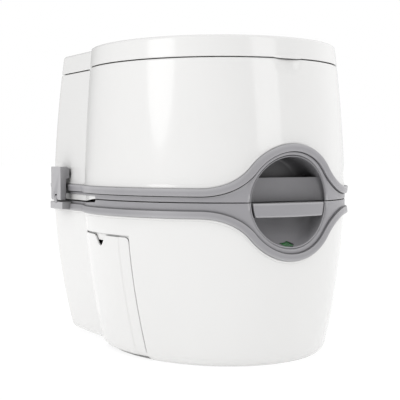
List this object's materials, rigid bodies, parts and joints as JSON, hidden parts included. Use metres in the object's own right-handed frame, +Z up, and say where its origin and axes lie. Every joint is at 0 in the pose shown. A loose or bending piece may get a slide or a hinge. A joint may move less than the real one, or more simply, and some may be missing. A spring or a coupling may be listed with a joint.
{
  "type": "portable camp toilet",
  "caption": "Two-part portable flushing toilet: flush tank with bowl, seat and lid latched on a waste tank with slide valve and roll compartment.",
  "frame": {"origin": "centre of the bounding box at the floor", "axes": "+Z up, -Y towards the front with the grip recess, +X to the right of a person who faces that front, -X on the side with the roll door"},
  "size_m": [0.3904, 0.4432, 0.448],
  "materials": {
    "white_plastic": "gloss moulded",
    "inner_plastic": "matte moulded",
    "grey_plastic": "satin moulded",
    "dark_plastic": "matte moulded",
    "rubber": "matte",
    "steel": "turned",
    "green_plastic": "satin moulded",
    "window": "clear moulded"
  },
  "bodies": {
    "waste_tank": {"lower_shell": "white_plastic", "lower_trim": "grey_plastic", "lower_grip_cup": "grey_plastic", "indicator_window": "window", "roll_compartment": "inner_plastic", "roll_bracket_front": "inner_plastic", "roll_bracket_rear": "inner_plastic", "door_hinge_pin": "steel", "waste_deck": "inner_plastic", "valve_housing": "dark_plastic", "valve_seal": "rubber", "gauge_bracket": "dark_plastic", "gauge_pin": "steel", "pour_spout": "dark_plastic", "latch_pin_left": "steel", "latch_pin_right": "steel"},
    "roll_holder": {"roll_spindle": "inner_plastic"},
    "door": {"door_panel": "white_plastic"},
    "valve": {"valve_blade": "dark_plastic", "valve_handle": "grey_plastic"},
    "gauge": {"gauge_flag": "green_plastic", "gauge_float": "inner_plastic"},
    "spout_cap": {"spout_cap": "dark_plastic"},
    "left_latch": {"latch_left": "grey_plastic"},
    "right_latch": {"latch_right": "grey_plastic"},
    "flush_tank": {"upper_shell": "white_plastic", "upper_trim": "grey_plastic", "upper_grip_cup": "grey_plastic", "flush_floor": "inner_plastic", "flush_deck": "inner_plastic", "bowl": "white_plastic", "outlet_seal": "rubber", "filler_neck": "inner_plastic", "pump_body": "inner_plastic", "flush_pipe": "dark_plastic", "flush_nozzle": "grey_plastic", "hinge_lug_left": "white_plastic", "hinge_lug_right": "white_plastic", "hinge_pin_left": "steel", "hinge_pin_right": "steel"},
    "filler_cap": {"filler_cap": "grey_plastic"},
    "flush_plunger": {"flush_button": "grey_plastic", "pump_piston": "dark_plastic"},
    "seat": {"seat": "white_plastic", "seat_bumper_left": "rubber", "seat_bumper_right": "rubber"},
    "lid": {"lid": "white_plastic"}
  },
  "joints": [
    {"name": "tank_lift", "type": "slide", "parent": "waste_tank", "child": "flush_tank", "axis": [0, 0, 1], "range_m": [0, 0.06]},
    {"name": "latch_left_swing", "type": "hinge", "parent": "waste_tank", "child": "left_latch", "pos_m": [-0.1874, 0.15, 0.2215], "axis": [0, -1, 0], "range_deg": [0, 90]},
    {"name": "latch_right_swing", "type": "hinge", "parent": "waste_tank", "child": "right_latch", "pos_m": [0.1874, 0.15, 0.2215], "axis": [0, 1, 0], "range_deg": [0, 90]},
    {"name": "seat_hinge", "type": "hinge", "parent": "flush_tank", "child": "seat", "pos_m": [0, 0.216, 0.416], "axis": [-1, 0, 0], "range_deg": [0, 85]},
    {"name": "lid_hinge", "type": "hinge", "parent": "seat", "child": "lid", "pos_m": [0, 0.216, 0.416], "axis": [-1, 0, 0], "range_deg": [0, 95]},
    {"name": "flush_press", "type": "slide", "parent": "flush_tank", "child": "flush_plunger", "axis": [0, 0, -1], "range_m": [0, 0.008]},
    {"name": "filler_turn", "type": "hinge", "parent": "flush_tank", "child": "filler_cap", "pos_m": [0.11, 0.15, 0.405], "axis": [0, 0, 1], "range_deg": [0, 90]},
    {"name": "valve_pull", "type": "slide", "parent": "waste_tank", "child": "valve", "axis": [0, -1, 0], "range_m": [0, 0.092]},
    {"name": "gauge_swing", "type": "hinge", "parent": "waste_tank", "child": "gauge", "pos_m": [0, -0.16, 0.14], "axis": [1, 0, 0], "range_deg": [0, 25]},
    {"name": "door_tilt", "type": "hinge", "parent": "waste_tank", "child": "door", "pos_m": [-0.148, -0.006, 0.026], "axis": [0, -1, 0], "range_deg": [0, 40]},
    {"name": "spindle_spin", "type": "hinge", "parent": "waste_tank", "child": "roll_holder", "pos_m": [-0.122, -0.006, 0.104], "axis": [0, 1, 0], "continuous": true},
    {"name": "spout_cap_turn", "type": "hinge", "parent": "waste_tank", "child": "spout_cap", "pos_m": [0.096, 0.118, 0.212], "axis": [0, 0, 1], "range_deg": [0, 180]}
  ],
  "couplings": [
    {"joint": "latch_left_swing", "follows": "tank_lift", "rad_per_m": 26.17},
    {"joint": "latch_right_swing", "follows": "tank_lift", "rad_per_m": 26.17}
  ]
}
